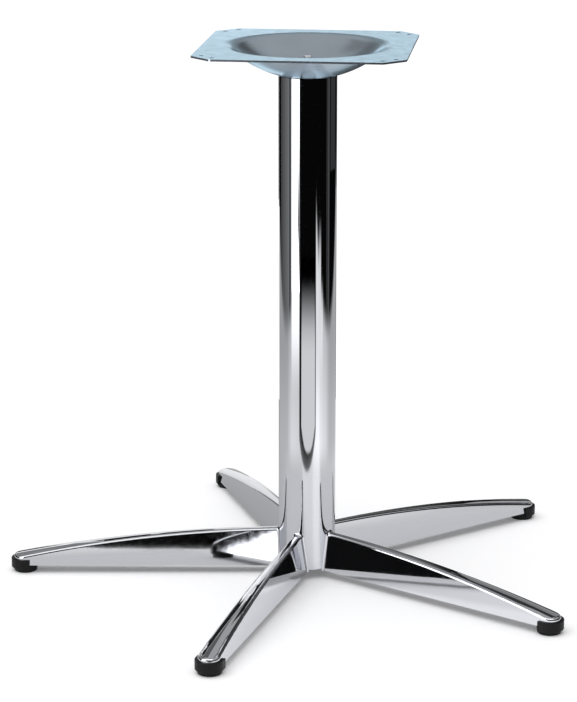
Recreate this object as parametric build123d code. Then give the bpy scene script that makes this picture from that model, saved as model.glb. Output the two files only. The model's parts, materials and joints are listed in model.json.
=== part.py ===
"""Five-star table base: pressed top plate, chromed column, five pressed legs with moulded feet.

Millimetres and degrees. The origin is on the floor under the column's axis, +Z is up, and X and Y run
along the sides of the top plate.
"""

import os
from math import asin, atan2, cos, degrees, radians, sin, sqrt, tan

from build123d import *

# Overall
OVERALL_HEIGHT = 715.0

# Column, a round tube whose lower end stays clear of the floor
COLUMN_DIAMETER = 76.0
COLUMN_WALL = 2.0
COLUMN_FLOOR_GAP = 14.0

# Top plate, one pressed sheet with a round dish that sits in the mouth of the column
PLATE_SIDE = 271.0
PLATE_SHEET = 2.5
PLATE_CORNER_CUT = 27.0
PLATE_CORNER_RADIUS = 5.0
PLATE_RISE = 38.5
DISH_RADIUS = 150.0
DISH_LIP_RADIUS = 27.0
DISH_SEAT_DIAMETER = 48.0
DISH_CLEARANCE = 0.1
SCREW_HOLE_DIAMETER = 6.5
SCREW_SPACING_LONG = 244.0
SCREW_SPACING_SHORT = 213.0

# Tie rod, nuts and washers that pull the plate down on the column
ROD_DIAMETER = 12.0
ROD_CHAMFER = 1.2
ROD_TOP_STICKOUT = 11.0
ROD_BOTTOM_STICKOUT = 4.0
ROD_HOLE_CLEARANCE = 0.5
NUT_SIDES = 6
NUT_ACROSS_FLATS = 18.0
NUT_HEIGHT = 10.0
NUT_CHAMFER_ANGLE = 30.0
THREAD_CLEARANCE = 0.1
WASHER_DIAMETER = 36.0
WASHER_THICKNESS = 3.0
BASE_DISC_THICKNESS = 6.0
BASE_DISC_CLEARANCE = 0.15
BASE_DISC_RECESS = 5.0

# Legs, pressed sheet channels that are open below; widths are taken at the column's axis and at the tip
LEG_COUNT = 5
FIRST_LEG_ANGLE = 186.3
LEG_SHEET = 2.0
LEG_FLOOR_GAP = 11.0
LEG_REACH = 397.5
LEG_ROOT_HEIGHT = 51.5
LEG_TIP_HEIGHT = 12.0
LEG_ROOT_WIDTH = 24.0
LEG_RIDGE_WIDTH = 9.2
LEG_TIP_WIDTH = 31.5
LEG_CROWN_RADIUS = 40.0
LEG_INNER_BEND = 2.2
LEG_WELD_GAP = 0.2
LEG_WELD_RADIUS = 4.0
LEG_WELD_CLEARANCE = 0.05

# Feet, moulded boots on the leg tips
FOOT_COLLAR_WALL = 2.5
FOOT_COLLAR_LENGTH = 26.0
FOOT_COLLAR_RISE = 7.5
FOOT_FLOOR_THICKNESS = 5.5
FOOT_PLUG_RISE = 6.0
FOOT_CLEARANCE = 0.15
FOOT_EDGE_RADIUS = 0.8
PAD_SETBACK = 16.5
PAD_TOP_DIAMETER = 33.0
PAD_FLOOR_DIAMETER = 30.5
PAD_EDGE_RADIUS = 1.2

# Derived levels and radii
column_radius = COLUMN_DIAMETER / 2
column_bore_radius = column_radius - COLUMN_WALL
column_top = OVERALL_HEIGHT - PLATE_RISE
rod_hole_radius = ROD_DIAMETER / 2 + ROD_HOLE_CLEARANCE
dish_centre_z = column_top + DISH_CLEARANCE + sqrt(DISH_RADIUS**2 - column_bore_radius**2)
dish_inner_radius = DISH_RADIUS - PLATE_SHEET
dish_seat_radius = DISH_SEAT_DIAMETER / 2
dish_seat_z = dish_centre_z - sqrt(dish_inner_radius**2 - dish_seat_radius**2)
disc_bottom = COLUMN_FLOOR_GAP + BASE_DISC_RECESS + ROD_BOTTOM_STICKOUT + NUT_HEIGHT + WASHER_THICKNESS
leg_draft = atan2(LEG_ROOT_WIDTH - LEG_RIDGE_WIDTH, 2 * LEG_ROOT_HEIGHT)
leg_drop = LEG_ROOT_HEIGHT - LEG_TIP_HEIGHT
leg_ridge_radius = (LEG_REACH**2 + leg_drop**2) / (2 * leg_drop)
leg_ridge_z = LEG_FLOOR_GAP + LEG_ROOT_HEIGHT
leg_tip_centre = LEG_REACH - LEG_TIP_WIDTH / 2


def arc_about(centre, start, end):
    """Arc from start to end about a centre in the sketch plane, the short way round."""
    middle = (start - centre) + (end - centre)
    return ThreePointArc(start, centre + middle.normalized() * (start - centre).length, end)


def make_column_tube():
    """Round tube, cut square at both ends."""
    ring = Circle(column_radius) - Circle(column_bore_radius)
    return Pos(0, 0, COLUMN_FLOOR_GAP) * extrude(ring, column_top - COLUMN_FLOOR_GAP)


def make_dish_section():
    """Half section of the pressed sheet: flat seat, spherical dish, rounded lip and flat rim."""
    dish = Vector(0, dish_centre_z)
    lip_z = OVERALL_HEIGHT - DISH_LIP_RADIUS
    lip_reach = dish_inner_radius + DISH_LIP_RADIUS
    lip_x = sqrt(lip_reach**2 - (dish_centre_z - lip_z) ** 2)
    lip = Vector(lip_x, lip_z)
    towards_lip = (lip - dish).normalized()
    lower_z = dish_seat_z - PLATE_SHEET
    lower_rim = OVERALL_HEIGHT - PLATE_SHEET
    lower_seat_radius = sqrt(DISH_RADIUS**2 - (dish_centre_z - lower_z) ** 2)

    hole_top = Vector(rod_hole_radius, dish_seat_z)
    seat_top = Vector(dish_seat_radius, dish_seat_z)
    meet_top = dish + towards_lip * dish_inner_radius
    lip_top = Vector(lip_x, OVERALL_HEIGHT)
    rim_top = Vector(PLATE_SIDE, OVERALL_HEIGHT)
    rim_low = Vector(PLATE_SIDE, lower_rim)
    lip_low = Vector(lip_x, lower_rim)
    meet_low = dish + towards_lip * DISH_RADIUS
    seat_low = Vector(lower_seat_radius, lower_z)
    hole_low = Vector(rod_hole_radius, lower_z)

    outline = [
        Line(hole_top, seat_top),
        arc_about(dish, seat_top, meet_top),
        arc_about(lip, meet_top, lip_top),
        Line(lip_top, rim_top),
        Line(rim_top, rim_low),
        Line(rim_low, lip_low),
        arc_about(lip, lip_low, meet_low),
        arc_about(dish, meet_low, seat_low),
        Line(seat_low, hole_low),
        Line(hole_low, hole_top),
    ]
    return Plane.XZ * make_face(outline)


def make_top_plate():
    """Dished sheet trimmed to a square with cut, rounded corners, and pierced for the screws."""
    sheet = revolve(make_dish_section(), Axis.Z)
    blank = Rectangle(PLATE_SIDE, PLATE_SIDE)
    blank = chamfer(blank.vertices(), PLATE_CORNER_CUT)
    blank = fillet(blank.vertices(), PLATE_CORNER_RADIUS)
    plate = sheet & extrude(blank, OVERALL_HEIGHT)
    drill = Cylinder(SCREW_HOLE_DIAMETER / 2, 2 * OVERALL_HEIGHT)
    spacings = [(SCREW_SPACING_LONG, SCREW_SPACING_SHORT), (SCREW_SPACING_SHORT, SCREW_SPACING_LONG)]
    for spacing_x, spacing_y in spacings:
        for place in GridLocations(spacing_x, spacing_y, 2, 2):
            plate -= place * drill
    return plate


def make_washer(bottom_z):
    """Flat washer lying on the given level."""
    ring = Circle(WASHER_DIAMETER / 2) - Circle(rod_hole_radius)
    return Pos(0, 0, bottom_z) * extrude(ring, WASHER_THICKNESS)


def make_nut(bottom_z):
    """Hex nut whose corners are chamfered on both faces."""
    face_radius = NUT_ACROSS_FLATS / 2
    corner_radius = face_radius / cos(radians(180 / NUT_SIDES))
    chamfer_height = (corner_radius - face_radius) * tan(radians(NUT_CHAMFER_ANGLE))
    section = Polygon(
        (0, 0),
        (face_radius, 0),
        (corner_radius, chamfer_height),
        (corner_radius, NUT_HEIGHT - chamfer_height),
        (face_radius, NUT_HEIGHT),
        (0, NUT_HEIGHT),
        align=None,
    )
    hexagon = extrude(RegularPolygon(corner_radius, NUT_SIDES), NUT_HEIGHT)
    bore = extrude(Circle(ROD_DIAMETER / 2 + THREAD_CLEARANCE), NUT_HEIGHT)
    return Pos(0, 0, bottom_z) * ((hexagon & revolve(Plane.XZ * section, Axis.Z)) - bore)


def make_tie_rod():
    """Rod from below the lower nut to above the upper nut, chamfered at both ends."""
    top = dish_seat_z + WASHER_THICKNESS + NUT_HEIGHT + ROD_TOP_STICKOUT
    bottom = COLUMN_FLOOR_GAP + BASE_DISC_RECESS
    rod = Pos(0, 0, bottom) * extrude(Circle(ROD_DIAMETER / 2), top - bottom)
    return chamfer(rod.edges().filter_by(GeomType.CIRCLE), ROD_CHAMFER)


def make_base_disc():
    """Disc in the column's bore that the lower nut pulls against."""
    ring = Circle(column_bore_radius - BASE_DISC_CLEARANCE) - Circle(rod_hole_radius)
    return Pos(0, 0, disc_bottom) * extrude(ring, BASE_DISC_THICKNESS)


def leg_outline(inset, level):
    """Plan of a leg that runs along X, inset from its outer skin, at a level above the floor."""
    spread = tan(leg_draft) * (LEG_FLOOR_GAP - level) - inset / cos(leg_draft)
    root_half = LEG_ROOT_WIDTH / 2 + spread
    tip_radius = LEG_TIP_WIDTH / 2 + spread
    splay = asin((tip_radius - root_half) / leg_tip_centre)
    root_y = root_half / cos(splay)
    meet_x = leg_tip_centre - tip_radius * sin(splay)
    meet_y = tip_radius * cos(splay)
    sides = [
        Line((0, -root_y), (meet_x, -meet_y)),
        ThreePointArc((meet_x, -meet_y), (leg_tip_centre + tip_radius, 0), (meet_x, meet_y)),
        Line((meet_x, meet_y), (0, root_y)),
        Line((0, root_y), (0, -root_y)),
    ]
    return make_face(sides)


def leg_crown(inset):
    """Solid below the ridge, which is arched along the leg and rounded across it."""
    across = LEG_CROWN_RADIUS - inset
    arch = leg_ridge_radius - inset
    section = Pos(0, arch - across) * Circle(across) + Pos(0, arch - across) * Rectangle(
        2 * across, arch / 2, align=(Align.CENTER, Align.MAX)
    )
    ring = revolve(Plane.YZ * section, Axis.Y)
    return Pos(0, 0, leg_ridge_z - leg_ridge_radius) * Rot(0, 180, 0) * ring


def leg_envelope(inset, bottom):
    """Drafted, crowned solid that lies inside the leg's outer skin by the inset, from a level up."""
    height = leg_ridge_z + LEG_SHEET - bottom
    base = Pos(0, 0, bottom) * leg_outline(inset, bottom)
    drafted = extrude(base, height, taper=degrees(leg_draft))
    body = drafted & leg_crown(inset)
    ridge = body.faces().filter_by(GeomType.TORUS).sort_by(SortBy.AREA)[-1]
    all_but_root = ridge.edges().sort_by(Axis.X)[1:]
    bend = LEG_INNER_BEND + LEG_SHEET - inset
    return fillet(all_but_root, min(bend, (LEG_RIDGE_WIDTH - inset) / 2))


def make_leg():
    """Pressed channel along X, coped to the column."""
    below = LEG_FLOOR_GAP - LEG_SHEET
    shell = leg_envelope(0, LEG_FLOOR_GAP) - leg_envelope(LEG_SHEET, below)
    cope = Cylinder(column_radius + LEG_WELD_GAP, 2 * OVERALL_HEIGHT)
    return shell - cope


def make_weld():
    """Ground fillet weld round the root of a leg that runs along X."""
    post = extrude(Circle(column_radius), 2 * leg_ridge_z)
    body = leg_envelope(0, LEG_FLOOR_GAP)
    joined = post + body
    seam = new_edges(post, body, combined=joined).filter_by(GeomType.CIRCLE, reverse=True)
    bead = fillet(seam, LEG_WELD_RADIUS)
    bead -= extrude(Circle(column_radius + LEG_WELD_CLEARANCE), 2 * leg_ridge_z)
    return bead - leg_envelope(-LEG_WELD_CLEARANCE, LEG_FLOOR_GAP)


def make_foot():
    """Boot along X: collar round the leg tip, plug inside it and a round pad below."""
    collar_end = LEG_REACH + FOOT_COLLAR_WALL - FOOT_COLLAR_LENGTH
    tip_side = Pos(collar_end, 0) * Rectangle(LEG_REACH, LEG_REACH, align=(Align.MIN, Align.CENTER))
    collar_plan = leg_outline(-FOOT_COLLAR_WALL, LEG_FLOOR_GAP) & tip_side
    collar = Pos(0, 0, LEG_FLOOR_GAP - FOOT_FLOOR_THICKNESS) * extrude(
        collar_plan, FOOT_FLOOR_THICKNESS + FOOT_COLLAR_RISE
    )
    collar = fillet(collar.edges().filter_by(Plane.XY), FOOT_EDGE_RADIUS)
    pocket = leg_envelope(-FOOT_CLEARANCE, LEG_FLOOR_GAP)
    plug_space = Pos(0, 0, LEG_FLOOR_GAP) * extrude(tip_side, FOOT_PLUG_RISE)
    plug = leg_envelope(LEG_SHEET + FOOT_CLEARANCE, LEG_FLOOR_GAP) & plug_space
    pad = Pos(LEG_REACH - PAD_SETBACK, 0) * Cone(
        PAD_FLOOR_DIAMETER / 2,
        PAD_TOP_DIAMETER / 2,
        LEG_FLOOR_GAP,
        align=(Align.CENTER, Align.CENTER, Align.MIN),
    )
    pad = fillet(pad.edges().filter_by(GeomType.CIRCLE).sort_by(Axis.Z)[0], PAD_EDGE_RADIUS)
    return (collar - pocket) + plug + pad


def build_nodes():
    """Every piece in its place, by node name."""
    nodes = {
        "top_plate": make_top_plate(),
        "column_tube": make_column_tube(),
        "column_base_disc": make_base_disc(),
        "tie_rod": make_tie_rod(),
        "top_washer": make_washer(dish_seat_z),
        "top_nut": make_nut(dish_seat_z + WASHER_THICKNESS),
        "bottom_washer": make_washer(disc_bottom - WASHER_THICKNESS),
        "bottom_nut": make_nut(disc_bottom - WASHER_THICKNESS - NUT_HEIGHT),
    }
    leg = make_leg()
    weld = make_weld()
    foot = make_foot()
    for number in range(1, LEG_COUNT + 1):
        turn = Rot(0, 0, FIRST_LEG_ANGLE + (number - 1) * 360 / LEG_COUNT)
        nodes[f"leg_{number}"] = turn * leg
        nodes[f"weld_{number}"] = turn * weld
        nodes[f"foot_{number}"] = turn * foot
    return nodes


os.makedirs("parts", exist_ok=True)
for name, shape in build_nodes().items():
    export_step(shape, f"parts/{name}.step")
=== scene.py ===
"""Looks of the five-star table base: materials, the tie rod's thread, studio and camera."""

import json
import math

import bpy
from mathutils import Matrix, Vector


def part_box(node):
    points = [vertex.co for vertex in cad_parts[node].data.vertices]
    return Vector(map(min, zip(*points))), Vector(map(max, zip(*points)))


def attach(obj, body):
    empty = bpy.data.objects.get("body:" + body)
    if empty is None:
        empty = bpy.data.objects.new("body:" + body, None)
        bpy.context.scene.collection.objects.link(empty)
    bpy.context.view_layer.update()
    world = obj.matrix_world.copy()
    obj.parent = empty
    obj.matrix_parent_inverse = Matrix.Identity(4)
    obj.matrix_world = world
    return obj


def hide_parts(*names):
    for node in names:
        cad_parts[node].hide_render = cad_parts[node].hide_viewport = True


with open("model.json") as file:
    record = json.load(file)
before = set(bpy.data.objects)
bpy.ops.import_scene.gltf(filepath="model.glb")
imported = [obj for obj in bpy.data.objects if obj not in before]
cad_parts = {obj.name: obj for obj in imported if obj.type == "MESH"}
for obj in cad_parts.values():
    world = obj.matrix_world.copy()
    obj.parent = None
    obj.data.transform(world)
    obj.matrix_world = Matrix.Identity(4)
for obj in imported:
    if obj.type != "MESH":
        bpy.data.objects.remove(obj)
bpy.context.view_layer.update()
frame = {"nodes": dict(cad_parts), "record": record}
nodes = frame["nodes"]

# Camera, fitted to the photograph's frame of 577 by 702
CAMERA_PLACE = (0.3671, -3.2786, 1.2128)
CAMERA_PITCH = math.radians(15.34)
CAMERA_YAW = math.radians(6.82)
CAMERA_LENS = 132.5
CAMERA_SENSOR = 36.0
CAMERA_FAR = 100.0

# Finishes: colours are linear, noise scales are per metre, and a bump has a strength and a depth in metres.
# NOISE_SPAN is the part of a noise's values that is spread over a colour or a roughness
NOISE_SPAN = (0.3, 0.7)

# Chrome: a haze, slow waves, swells of the pressed legs that come in between two distances from the axis,
# and polishing lines on what faces up
CHROME_COLOUR = (0.605, 0.615, 0.645)
CHROME_HAZE = {"scale": 160.0, "detail": 4.0}
CHROME_ROUGHNESS = (0.02, 0.05)
CHROME_WAVES = {"scale": 22.0, "detail": 1.0}
CHROME_WAVE_BUMP = (0.03, 0.001)
CHROME_SWELLS = {"scale": 16.0, "detail": 1.0}
CHROME_SWELL_START = (0.05, 0.12)
CHROME_SWELL_BUMP = (0.10, 0.001)
CHROME_LINES = {"around_scale": 90.0, "along_scale": 6.0, "detail": 2.0}
CHROME_LINE_FACING = (0.75, 0.95)
CHROME_LINE_BUMP = (0.03, 0.001)

# Blue bright zinc on the plate: clouds in its tint, patches in its sheen, and rolling lines along X
ZINC_PALE = (0.50, 0.56, 0.62)
ZINC_DEEP = (0.46, 0.515, 0.57)
ZINC_SHALLOW = (0.68, 0.88, 0.99)
ZINC_METALLIC = 0.92
ZINC_CLOUDS = {"scale": 24.0, "detail": 4.0, "roughness": 0.55}
ZINC_PATCHES = {"scale": 70.0, "detail": 3.0}
ZINC_ROUGHNESS = (0.20, 0.25)
ZINC_LINES = {"scale": 40.0, "detail": 2.0, "stretch": (1.0, 14.0, 14.0)}
ZINC_LINE_BUMP = (0.02, 0.0001)

# Zinc on the fasteners and plain steel inside: mottled tint, patches in the sheen, and a fine grain
FASTENER_PALE = (0.80, 0.83, 0.85)
FASTENER_DEEP = (0.66, 0.69, 0.71)
FASTENER_ROUGHNESS = (0.22, 0.38)
STEEL_PALE = (0.26, 0.26, 0.27)
STEEL_DEEP = (0.15, 0.15, 0.155)
STEEL_ROUGHNESS = (0.40, 0.60)
STEEL_MOTTLE = {"scale": 140.0, "detail": 4.0}
STEEL_PATCHES = {"scale": 320.0, "detail": 3.0}
STEEL_GRAIN = {"scale": 1500.0, "detail": 2.0}
STEEL_GRAIN_BUMP = (0.08, 0.0001)

# Black plastic of the feet: patches in the sheen and a spark-eroded grain
PLASTIC_COLOUR = (0.004, 0.004, 0.0045)
PLASTIC_SPECULAR = 0.22
PLASTIC_PATCHES = {"scale": 220.0, "detail": 3.0}
PLASTIC_ROUGHNESS = (0.38, 0.52)
PLASTIC_GRAIN = {"scale": 1800.0, "detail": 3.0}
PLASTIC_GRAIN_BUMP = (0.25, 0.0001)

# Thread on the ends of the tie rod, coarse pitch for 12 mm
THREAD_PITCH = 0.00175
THREAD_DEPTH = 0.00107
THREAD_LENGTH = 0.045
ROD_CHAMFER = 0.0012
# Steepness of the flanks, and the offset that leaves the crest flat
THREAD_FLANK = 1.3
THREAD_CREST = 0.15
# Points around the rod, and rows of them in each pitch
THREAD_STEPS = 32
THREAD_ROWS = 8

# Floor, fill and lamp
FLOOR_SIZE = 60.0
FLOOR_COLOUR = (0.94, 0.94, 0.95)
FLOOR_LIFT = 0.10
WHITE = (1.0, 1.0, 1.0, 1.0)
FILL_STRENGTH = 0.58
SUN_STRENGTH = 1.55
SUN_WIDTH = math.radians(70)
SUN_TILT = (math.radians(12), math.radians(-14), 0.0)

# What the chrome shows of the studio. Angles run from the way to the camera, to the right, in degrees,
# and distances from the column's axis, in metres
CAMERA_TURN = math.atan2(CAMERA_PLACE[1], CAMERA_PLACE[0])
ALL_ROUND = range(-180, 180)
ZENITH = 90
SOFT_ANGLE = 2.0
CARD_HEIGHT = 0.004
CARD_STEPS = 80

# The floor: its brightness near the base and at its sides, where its card starts, how many times further the
# card ends, and where the sides fall into the dark
FLOOR_TONES = (1.06, 0.76)
FLOOR_NEAR = 0.46
FLOOR_GROWTH = 10
FLOOR_SIDE = 1.33
FLOOR_SIDE_SOFT = 0.14
FLOOR_DARK = 0.003
# How the floor's brightness changes around the base, near it and from GLOW_FULL on: angle, share of the tone.
# Near the base the shares are painted shade and painted light on the floor, seen only in reflections
NEAR_SHADE_AND_LIGHT = [
    (-180, 0.52),
    (-164, 0.52),
    (-100, 0.68),
    (-86, 0.76),
    (-22, 0.78),
    (-14, 1.00),
    (14, 1.00),
    (32, 1.20),
    (46, 1.20),
    (58, 0.82),
    (180, 0.80),
]
FAR_GLOW = [
    (-180, 0.45),
    (-150, 0.50),
    (-130, 0.65),
    (-90, 0.70),
    (-60, 1.08),
    (-20, 1.00),
    (14, 1.00),
    (32, 1.48),
    (44, 1.55),
    (56, 1.28),
    (70, 1.13),
    (104, 0.72),
    (180, 0.66),
]
GLOW_FULL = 0.64
# The veil over the real floor, which paints shade and light into its reflections, from here to where the
# floor's card starts
VEIL_NEAR = 0.05
# Where the floor ends in front, bowed away from the camera's line, first grey and then black
FLOOR_FRONT = 0.48
FLOOR_FRONT_SOFT = 0.03
FLOOR_FRONT_BOW = 0.04
FLOOR_FRONT_ANGLES = (-31, 34)
FLOOR_FRONT_TONE = 0.22
FLOOR_FRONT_BLACK = 0.62
BOW_ANGLE = 24
# Lamps seen over the floor: first and last angle, distances where they fade in and out, brightness
LAMP_PANELS = [
    (-65, -32, (0.85, 1.40), (9.0, 10.0), 1.70),
    (39, 64, (0.85, 1.30), (1.30, 1.75), 1.20),
    (46, 55, (1.20, 1.50), (1.75, 2.30), 1.10),
]
# Beyond the sides of the floor: first and last angle, brightness
BEYOND_PANELS = [
    (-128, -112, 0.10),
    (-112, -98, 0.15),
    (-98, -86, 0.20),
    (-86, -77, 0.25),
    (-75, -72, 0.16),
    (-70, -66, 0.28),
    (80, 87, 0.05),
    (88, 96, 0.10),
    (152, 181, 0.10),
]

# The dome over all: first and last angle, lowest and highest elevation in degrees, brightness
DOME_RADIUS = 4.6
DOME_TONE = 0.50
DOME_SOFT = 2.5
DOME_PANELS = [
    (-181, 181, -5, 16, 0.05),
    (-118, 118, -5, 26, 0.01),
    (-150, -95, 34, 60, 0.26),
    (-36, -22, -5, 9, 2.80),
    (-60, 45, 38, 72, 1.60),
    (173, 181, 16, 22, 1.75),
    (-181, -140, 16, 22, 1.75),
    (120, 181, 22, 40, 0.30),
    (-181, -120, 22, 40, 0.30),
]

# The soft box to the left, standing on the floor
BOX_ANGLES = (-65, -32)
BOX_ANGLE_STEP = 0.5
BOX_DISTANCE = 1.6
BOX_HEIGHT = 1.4
BOX_TONE = 2.8
# A black flag near the box's lower right corner, with brighter white below it: the angles where it comes in,
# its lower edge at one angle with the growth per degree to the left, that edge's blur, and where its upper
# edge fades; then the brightness of both, and the step of the card's heights
FLAG_START = (-38.0, -37.0)
FLAG_ANGLE = -34.0
FLAG_LOW = 0.055
FLAG_GROWTH = 0.022
FLAG_SOFT = 0.004
FLAG_TOP = (0.14, 0.34)
FLAG_TONE = 0.0
FLAG_WHITE = 5.0
FLAG_STEP = 0.004

# Cards hung behind the base: first and last angle, distance, lower and upper height, brightness
HUNG_CARDS = [
    (100, 135, 0.90, 0.38, 1.35, 0.05),
    (135, 165, 0.90, 0.80, 1.35, 0.05),
    (194, 250, 0.90, 0.80, 1.35, 0.16),
    (150, 191, 0.45, 0.44, 0.70, 0.02),
    (194, 214, 0.78, 0.34, 0.76, 0.02),
    (190, 206, 0.45, 0.34, 0.42, 1.40),
]

# The card behind the base: heights with their brightness, its dark side, and its bright end to the left
BACK_DISTANCE = 0.8
BACK_LEVELS = [(0.01, 0.04), (0.12, 0.06), (0.33, 0.16), (0.50, 0.30), (0.70, 0.40), (0.79, 0.45)]
BACK_DARK_SIDE = (155, 170)
BACK_BRIGHT_SIDE = (180, 185)
BACK_END = 215
BACK_END_TONE = 1.05

# The light card in front of the base, held off the floor. Its near edge bends away to both sides, and its
# dark rim widens at the sides, between two angles, where the card fades
FRONT_HEIGHT = 0.03
FRONT_NEAR = 0.512
FRONT_FAR = 1.8
FRONT_SPREAD = 0.15
FRONT_POWER = 2.5
FRONT_MIDDLE = 4.0
FRONT_ANGLE = 28
FRONT_TONE = 0.96
FRONT_FADE = (1.05, 1.62)
FRONT_RIM_WIDTH = 0.012
FRONT_RIM_ANGLES = (1.8, 6.5)
FRONT_RIM_DARKEST = 1.0
FRONT_RIM_TONE = 0.28


class NodeTree:
    """Nodes of one material or world."""

    def __init__(self, owner, output_kind):
        owner.use_nodes = True
        self.tree = owner.node_tree
        self.tree.nodes.clear()
        self.output = self.add(output_kind)

    def add(self, kind, inputs=None, **settings):
        """New node, with each input set to a plain value or linked to another node's output."""
        node = self.tree.nodes.new(kind)
        for key, value in settings.items():
            setattr(node, key, value)
        for key, value in (inputs or {}).items():
            if isinstance(value, bpy.types.NodeSocket):
                self.tree.links.new(value, node.inputs[key])
            else:
                node.inputs[key].default_value = value
        return node

    def calculate(self, operation, first, second):
        """Result of an operation on two outputs, or on an output and a plain number."""
        return self.add("ShaderNodeMath", {0: first, 1: second}, operation=operation).outputs[0]

    def seen(self):
        """1 for rays from the camera, in reflections and through clear surfaces, and 0 for all others."""
        path = self.add("ShaderNodeLightPath").outputs
        either = self.calculate("MAXIMUM", path["Is Camera Ray"], path["Is Glossy Ray"])
        return self.calculate("MAXIMUM", either, path["Is Transmission Ray"])

    def set_surface(self, shader):
        """Make a shader node what the material or world shows."""
        self.tree.links.new(shader.outputs[0], self.output.inputs["Surface"])


class Shader(NodeTree):
    """One material and the textures that it can use, in metres in the part's frame."""

    def __init__(self, name):
        self.material = bpy.data.materials.new(name)
        super().__init__(self.material, "ShaderNodeOutputMaterial")

    def principled(self, inputs):
        self.set_surface(self.add("ShaderNodeBsdfPrincipled", inputs))

    def set_sum(self, first, second):
        """Make two shader nodes, added together, what the material shows."""
        self.set_surface(self.add("ShaderNodeAddShader", {0: first.outputs[0], 1: second.outputs[0]}))

    def position(self):
        return self.add("ShaderNodeTexCoord").outputs["Object"]

    def vector(self, operation, *values):
        """Result of a vector operation on outputs and plain vectors."""
        inputs = dict(enumerate(values))
        return self.add("ShaderNodeVectorMath", inputs, operation=operation).outputs["Vector"]

    def flat_position(self):
        """Position without its height."""
        return self.vector("MULTIPLY", self.position(), (1.0, 1.0, 0.0))

    def noise(self, scale, detail, roughness=0.5, stretch=(1.0, 1.0, 1.0)):
        place = self.add("ShaderNodeMapping", {"Vector": self.position(), "Scale": stretch}).outputs["Vector"]
        inputs = {"Vector": place, "Scale": scale, "Detail": detail, "Roughness": roughness}
        return self.add("ShaderNodeTexNoise", inputs).outputs["Fac"]

    def radial_noise(self, around_scale, along_scale, detail):
        """Noise drawn out along lines that run away from the part's axis."""
        way = self.vector("NORMALIZE", self.flat_position())
        stretched = self.vector("MULTIPLY", way, (around_scale, around_scale, 0.0))
        place = self.vector("MULTIPLY_ADD", self.position(), (along_scale,) * 3, stretched)
        inputs = {"Vector": place, "Scale": 1.0, "Detail": detail}
        return self.add("ShaderNodeTexNoise", inputs).outputs["Fac"]

    def facing_up(self, span):
        """1 where the surface faces up, falling to 0 as it turns to the side."""
        normal = self.add("ShaderNodeNewGeometry").outputs["Normal"]
        parts = self.add("ShaderNodeSeparateXYZ", {"Vector": normal})
        return self.spread(parts.outputs["Z"], span)

    def off_axis(self, span):
        """0 near the part's axis, rising to 1 away from it."""
        length = self.add("ShaderNodeVectorMath", {0: self.flat_position()}, operation="LENGTH")
        return self.spread(length.outputs["Value"], span)

    def spread(self, value, span, result=(0.0, 1.0)):
        """Value between the ends of a span turned into a number between the ends of the result."""
        start, end = span
        low, high = result
        inputs = {"Value": value, "From Min": start, "From Max": end, "To Min": low, "To Max": high}
        return self.add("ShaderNodeMapRange", inputs).outputs["Result"]

    def tint(self, noise, low, high):
        """Noise turned into a colour between low and high."""
        node = self.add("ShaderNodeValToRGB", {"Fac": noise})
        for element, place, colour in zip(node.color_ramp.elements, NOISE_SPAN, (low, high)):
            element.position = place
            element.color = (*colour, 1.0)
        return node.outputs["Color"]

    def bump(self, height, strength, depth, below=None):
        inputs = {"Height": height, "Strength": strength, "Distance": depth}
        if below is not None:
            inputs["Normal"] = below
        return self.add("ShaderNodeBump", inputs).outputs["Normal"]


def make_chrome():
    """Bright plate over polished steel, with the waves of the pressing and lengthwise polishing lines."""
    shader = Shader("chrome")
    haze = shader.noise(**CHROME_HAZE)
    waves = shader.bump(shader.noise(**CHROME_WAVES), *CHROME_WAVE_BUMP)
    away = shader.off_axis(CHROME_SWELL_START)
    swells = shader.calculate("MULTIPLY", shader.noise(**CHROME_SWELLS), away)
    pressed = shader.bump(swells, *CHROME_SWELL_BUMP, below=waves)
    upper = shader.facing_up(CHROME_LINE_FACING)
    lines = shader.calculate("MULTIPLY", shader.radial_noise(**CHROME_LINES), upper)
    shader.principled({
        "Base Color": (*CHROME_COLOUR, 1.0),
        "Metallic": 1.0,
        "Roughness": shader.spread(haze, NOISE_SPAN, CHROME_ROUGHNESS),
        "Normal": shader.bump(lines, *CHROME_LINE_BUMP, below=pressed),
    })
    return shader.material


def make_zinc_sheet():
    """Blue bright zinc on cold-rolled sheet: cloudy tint, soft sheen and faint rolling lines."""
    shader = Shader("zinc_sheet")
    patches = shader.noise(**ZINC_PATCHES)
    shader.principled({
        "Base Color": shader.tint(shader.noise(**ZINC_CLOUDS), ZINC_DEEP, ZINC_PALE),
        "Metallic": ZINC_METALLIC,
        "Specular Tint": (*ZINC_SHALLOW, 1.0),
        "Roughness": shader.spread(patches, NOISE_SPAN, ZINC_ROUGHNESS),
        "Normal": shader.bump(shader.noise(**ZINC_LINES), *ZINC_LINE_BUMP),
    })
    return shader.material


def make_steel(name, deep, pale, roughness):
    """Plain or plated steel with a mottled tint and a fine grain."""
    shader = Shader(name)
    patches = shader.noise(**STEEL_PATCHES)
    shader.principled({
        "Base Color": shader.tint(shader.noise(**STEEL_MOTTLE), deep, pale),
        "Metallic": 1.0,
        "Roughness": shader.spread(patches, NOISE_SPAN, roughness),
        "Normal": shader.bump(shader.noise(**STEEL_GRAIN), *STEEL_GRAIN_BUMP),
    })
    return shader.material


def make_plastic():
    """Black moulded plastic with a fine spark-eroded grain."""
    shader = Shader("foot_plastic")
    patches = shader.noise(**PLASTIC_PATCHES)
    shader.principled({
        "Base Color": (*PLASTIC_COLOUR, 1.0),
        "Specular IOR Level": PLASTIC_SPECULAR,
        "Roughness": shader.spread(patches, NOISE_SPAN, PLASTIC_ROUGHNESS),
        "Normal": shader.bump(shader.noise(**PLASTIC_GRAIN), *PLASTIC_GRAIN_BUMP),
    })
    return shader.material


def paint(thing, material):
    thing.data.materials.clear()
    thing.data.materials.append(material)


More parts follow.
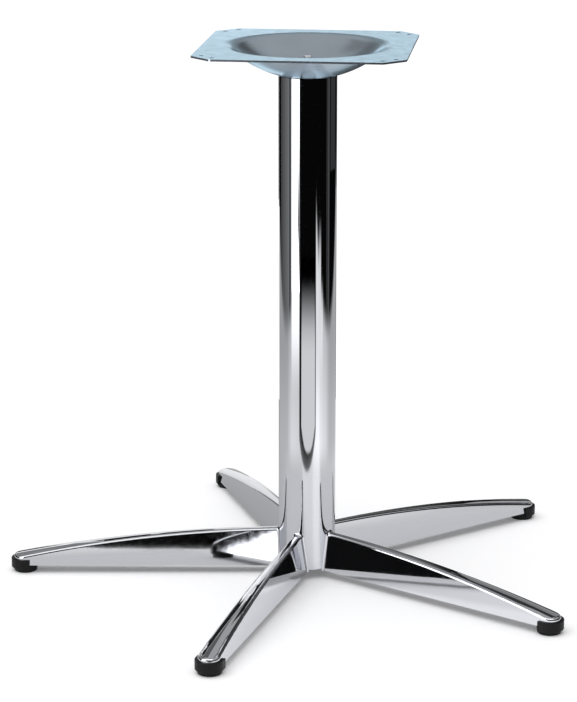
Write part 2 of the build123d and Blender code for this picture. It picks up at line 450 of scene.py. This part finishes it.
def mesh_object(name, vertices, faces):
    mesh = bpy.data.meshes.new(name)
    mesh.from_pydata(vertices, [], faces)
    mesh.update()
    made = bpy.data.objects.new(name, mesh)
    bpy.context.scene.collection.objects.link(made)
    return made


def grid_faces(row_count, count, closed):
    """Quads between neighbouring rows of points; a closed row runs on to its own first point."""
    faces = []
    for r in range(row_count - 1):
        here = r * count
        above = here + count
        for k in range(count if closed else count - 1):
            after = (k + 1) % count
            faces.append((here + k, here + after, above + after, above + k))
    return faces


def ramp(value, start, end):
    """Smooth step from 0 at start to 1 at end."""
    share = min(max((value - start) / (end - start), 0.0), 1.0)
    return share * share * (3 - 2 * share)


def inside(value, low, high, soft):
    """How far a value is inside a span whose ends are soft, from 0 to 1."""
    half = soft / 2
    return ramp(value, low - half, low + half) * (1 - ramp(value, high - half, high + half))


def blend(start, end, share):
    """Value at a share of the way from start to end."""
    return start + (end - start) * share


def between(points, angle):
    """Value at an angle, led smoothly from one (angle, value) point to the next."""
    for (first, start), (last, end) in zip(points, points[1:]):
        if angle <= last:
            return blend(start, end, ramp(angle, first, last))
    return points[-1][1]


def thread_radius(full, turn, level, end):
    """Radius of the rod at an angle in turns and at a level, for its full radius and the level of its end."""
    radius = full
    from_end = abs(level - end)
    if from_end < THREAD_LENGTH:
        phase = (level / THREAD_PITCH - turn) % 1.0
        flank = min(max(abs(2 * phase - 1) * THREAD_FLANK - THREAD_CREST, 0.0), 1.0)
        radius -= THREAD_DEPTH * flank * ramp(THREAD_LENGTH - from_end, 0.0, THREAD_PITCH)
    return min(radius, full - ROD_CHAMFER + from_end)


def make_threaded_rod(material):
    """Tie rod with a real screw thread on both ends, in place of the plain solid."""
    low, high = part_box("tie_rod")
    bottom, top = low[2], high[2]
    full = (high[0] - low[0]) / 2
    rows = round(THREAD_LENGTH / THREAD_PITCH * THREAD_ROWS)
    levels = [bottom + THREAD_LENGTH * k / rows for k in range(rows + 1)]
    levels += [top - THREAD_LENGTH * k / rows for k in range(rows, -1, -1)]
    vertices = []
    for level in levels:
        end = bottom if level - bottom < top - level else top
        for k in range(THREAD_STEPS):
            turn = k / THREAD_STEPS
            radius = thread_radius(full, turn, level, end)
            angle = 2 * math.pi * turn
            vertices.append((radius * math.cos(angle), radius * math.sin(angle), level))
    faces = grid_faces(len(levels), THREAD_STEPS, True)
    last = len(vertices) - THREAD_STEPS
    faces.append(tuple(range(THREAD_STEPS - 1, -1, -1)))
    faces.append(tuple(range(last, last + THREAD_STEPS)))
    rod = mesh_object("threaded_rod", vertices, faces)
    paint(rod, material)
    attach(rod, "root")
    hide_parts("tie_rod")


def make_floor():
    """Wide white floor that keeps the shadows; a little lift brings its lit part to white."""
    half = FLOOR_SIZE / 2
    corners = [(-half, -half, 0), (half, -half, 0), (half, half, 0), (-half, half, 0)]
    floor = mesh_object("floor", corners, [(0, 1, 2, 3)])
    shader = Shader("floor")
    diffuse = shader.add("ShaderNodeBsdfDiffuse", {"Color": (*FLOOR_COLOUR, 1.0)})
    strength = shader.calculate("MULTIPLY", shader.seen(), FLOOR_LIFT)
    lift = shader.add("ShaderNodeEmission", {"Strength": strength})
    shader.set_sum(diffuse, lift)
    paint(floor, shader.material)


def around(angle, distance, height, tone):
    """Point at an angle from the way to the camera, as seen from the column's axis."""
    turn = CAMERA_TURN + math.radians(angle)
    return (distance * math.cos(turn), distance * math.sin(turn), height, tone)


def shine(shader, tone):
    """Glow with the card's own tone."""
    shader.set_surface(shader.add("ShaderNodeEmission", {"Strength": tone}))


def veil(shader, tone):
    """Painted shade and painted light: darken what lies below where the tone is under 1, and add to it where
    the tone is over 1.
    """
    less = shader.calculate("MINIMUM", tone, 1.0)
    clear = shader.add("ShaderNodeBsdfTransparent", {"Color": less})
    more = shader.spread(tone, (1.0, 2.0), (0.0, FLOOR_TONES[0]))
    glow = shader.add("ShaderNodeEmission", {"Strength": more})
    shader.set_sum(clear, glow)


def reflection_card(name, rows, closed, make_surface):
    """Card made of rows of (x, y, z, tone) points, which shows in reflections alone."""
    points = [point for row in rows for point in row]
    faces = grid_faces(len(rows), len(rows[0]), closed)
    card = mesh_object(name, [point[:3] for point in points], faces)
    tones = card.data.attributes.new("tone", "FLOAT", "POINT")
    tones.data.foreach_set("value", [point[3] for point in points])
    shader = Shader(name)
    tone = shader.add("ShaderNodeAttribute", attribute_name="tone")
    make_surface(shader, tone.outputs["Fac"])
    shader.material.cycles.emission_sampling = "NONE"
    paint(card, shader.material)
    card.visible_camera = False
    card.visible_diffuse = False
    card.visible_shadow = False


def floor_tone(angle, distance):
    """Brightness of the floor: pale near the base, dark in front and at the sides, bright under the lamps."""
    tone = blend(*FLOOR_TONES, ramp(distance, FLOOR_NEAR, FLOOR_SIDE))
    far_share = ramp(distance, FLOOR_NEAR, GLOW_FULL)
    # Near the base this is painted shade and painted light on the floor, as reflections show it
    tone *= blend(between(NEAR_SHADE_AND_LIGHT, angle), between(FAR_GLOW, angle), far_share)

    beyond = FLOOR_DARK
    for first, last, bright in BEYOND_PANELS:
        beyond = blend(beyond, bright, inside(angle, first, last, SOFT_ANGLE))
    sideways = abs(distance * math.sin(math.radians(angle)))
    tone = blend(tone, beyond, ramp(sideways, FLOOR_SIDE - FLOOR_SIDE_SOFT, FLOOR_SIDE + FLOOR_SIDE_SOFT))

    forwards = distance * math.cos(math.radians(angle)) - FLOOR_FRONT_BOW * (angle / BOW_ANGLE) ** 2
    front = blend(FLOOR_FRONT_TONE, FLOOR_DARK, ramp(forwards, FLOOR_FRONT, FLOOR_FRONT_BLACK))
    share = inside(angle, *FLOOR_FRONT_ANGLES, SOFT_ANGLE)
    share *= ramp(forwards, FLOOR_FRONT, FLOOR_FRONT + FLOOR_FRONT_SOFT)
    tone = blend(tone, front, share)

    for first, last, fade_in, fade_out, bright in LAMP_PANELS:
        share = inside(angle, first, last, SOFT_ANGLE)
        share *= ramp(distance, *fade_in) * (1 - ramp(distance, *fade_out))
        tone = blend(tone, bright, share)
    return tone


def make_studio_floor():
    rows = []
    for k in range(CARD_STEPS + 1):
        reach = FLOOR_NEAR * FLOOR_GROWTH ** (k / CARD_STEPS)
        rows.append([around(angle, reach, CARD_HEIGHT, floor_tone(angle, reach)) for angle in ALL_ROUND])
    reflection_card("studio_floor", rows, True, shine)


def make_near_veil():
    # Sheet of painted shade and painted light over the real floor near the base, seen only in reflections
    rows = []
    for reach in (VEIL_NEAR, FLOOR_NEAR):
        rows.append([around(angle, reach, CARD_HEIGHT, between(NEAR_SHADE_AND_LIGHT, angle)) for angle in ALL_ROUND])
    reflection_card("near_veil", rows, True, veil)


def dome_tone(angle, elevation):
    """Brightness of the dome, with its panels laid over each other."""
    tone = DOME_TONE
    for first, last, low, high, bright in DOME_PANELS:
        share = inside(angle, first, last, DOME_SOFT) * inside(elevation, low, high, DOME_SOFT)
        tone = blend(tone, bright, share)
    return tone


def make_studio_dome():
    rows = []
    for elevation in range(ZENITH + 1):
        reach = DOME_RADIUS * math.cos(math.radians(elevation))
        height = DOME_RADIUS * math.sin(math.radians(elevation))
        rows.append([around(angle, reach, height, dome_tone(angle, elevation)) for angle in ALL_ROUND])
    reflection_card("studio_dome", rows, True, shine)


def front_tone(turn, reach, edge):
    """Brightness of the front card: fading away from the base, with a rim that is darker."""
    fade = ramp(reach, *FRONT_FADE)
    rim = blend(*FRONT_RIM_ANGLES, fade)
    near_rim = 1 - ramp(reach, edge - FRONT_RIM_WIDTH / 2, edge)
    side_rim = ramp(abs(turn), FRONT_ANGLE - rim, FRONT_ANGLE - FRONT_RIM_DARKEST)
    return FRONT_TONE * (1 - fade) * blend(1.0, FRONT_RIM_TONE, max(near_rim, side_rim))


def make_front_card():
    rows = []
    for k in range(CARD_STEPS + 1):
        row = []
        for turn in range(-FRONT_ANGLE, FRONT_ANGLE + 1):
            edge = FRONT_NEAR + FRONT_SPREAD * (abs(turn) / FRONT_ANGLE) ** FRONT_POWER
            near = edge - FRONT_RIM_WIDTH
            reach = near * (FRONT_FAR / near) ** (k / CARD_STEPS)
            row.append(around(FRONT_MIDDLE + turn, reach, FRONT_HEIGHT, front_tone(turn, reach, edge)))
        rows.append(row)
    reflection_card("front_card", rows, False, shine)


def box_tone(angle, height):
    """Brightness of the soft box, with the flag near its lower right corner."""
    low = FLAG_LOW + FLAG_GROWTH * (FLAG_ANGLE - angle)
    tone = blend(FLAG_WHITE, FLAG_TONE, ramp(height, low, low + FLAG_SOFT))
    tone = blend(tone, BOX_TONE, ramp(height, *FLAG_TOP))
    return blend(BOX_TONE, tone, ramp(angle, *FLAG_START))


def make_soft_box():
    first, last = BOX_ANGLES
    angle_steps = round((last - first) / BOX_ANGLE_STEP)
    angles = [first + BOX_ANGLE_STEP * k for k in range(angle_steps + 1)]
    flag_steps = round(FLAG_TOP[1] / FLAG_STEP)
    heights = [CARD_HEIGHT + FLAG_STEP * k for k in range(flag_steps + 1)] + [BOX_HEIGHT]
    rows = []
    for height in heights:
        rows.append([around(angle, BOX_DISTANCE, height, box_tone(angle, height)) for angle in angles])
    reflection_card("soft_box", rows, False, shine)


def make_hung_cards():
    for number, (first, last, distance, low, high, tone) in enumerate(HUNG_CARDS, 1):
        rows = []
        for height in (low, high):
            rows.append([around(angle, distance, height, tone) for angle in range(first, last + 1)])
        reflection_card(f"hung_card_{number}", rows, False, shine)


def make_back_card():
    rows = []
    for height, tone in BACK_LEVELS:
        row = []
        for angle in range(BACK_DARK_SIDE[0], BACK_END + 1):
            bright = tone * ramp(angle, *BACK_DARK_SIDE)
            bright = blend(bright, BACK_END_TONE, ramp(angle, *BACK_BRIGHT_SIDE))
            row.append(around(angle, BACK_DISTANCE, height, bright))
        rows.append(row)
    reflection_card("back_card", rows, False, shine)


def make_world():
    """White to the camera and in reflections, and a soft even fill for everything else."""
    world = bpy.data.worlds.new("studio")
    bpy.context.scene.world = world
    tree = NodeTree(world, "ShaderNodeOutputWorld")
    fill = tree.add("ShaderNodeBackground", {"Color": WHITE, "Strength": FILL_STRENGTH})
    white = tree.add("ShaderNodeBackground", {"Color": WHITE, "Strength": 1.0})
    inputs = {"Fac": tree.seen(), 1: fill.outputs[0], 2: white.outputs[0]}
    tree.set_surface(tree.add("ShaderNodeMixShader", inputs))


def make_sun():
    """Wide soft light from above, a little from the left and the front, even over the whole floor."""
    lamp = bpy.data.lights.new("soft_light", "SUN")
    lamp.energy = SUN_STRENGTH
    lamp.angle = SUN_WIDTH
    thing = bpy.data.objects.new("soft_light", lamp)
    thing.rotation_euler = SUN_TILT
    bpy.context.scene.collection.objects.link(thing)
    thing.visible_glossy = False


def make_camera():
    data = bpy.data.cameras.new("camera")
    data.lens = CAMERA_LENS
    data.sensor_width = CAMERA_SENSOR
    data.clip_end = CAMERA_FAR
    camera = bpy.data.objects.new("camera", data)
    camera.location = CAMERA_PLACE
    camera.rotation_euler = (math.pi / 2 - CAMERA_PITCH, 0.0, CAMERA_YAW)
    bpy.context.scene.collection.objects.link(camera)
    bpy.context.scene.camera = camera


finishes = {
    "chrome": make_chrome(),
    "zinc_sheet": make_zinc_sheet(),
    "zinc_fastener": make_steel("zinc_fastener", FASTENER_DEEP, FASTENER_PALE, FASTENER_ROUGHNESS),
    "plain_steel": make_steel("plain_steel", STEEL_DEEP, STEEL_PALE, STEEL_ROUGHNESS),
    "foot_plastic": make_plastic(),
}
for row in frame["record"]["subparts"]:
    paint(nodes[row["node"]], finishes[row["material_slot"]])

make_threaded_rod(finishes["zinc_fastener"])
make_floor()
make_studio_floor()
make_studio_dome()
make_front_card()
make_soft_box()
make_near_veil()
make_hung_cards()
make_back_card()
make_world()
make_sun()
make_camera()
bpy.context.scene.view_settings.view_transform = "Standard"
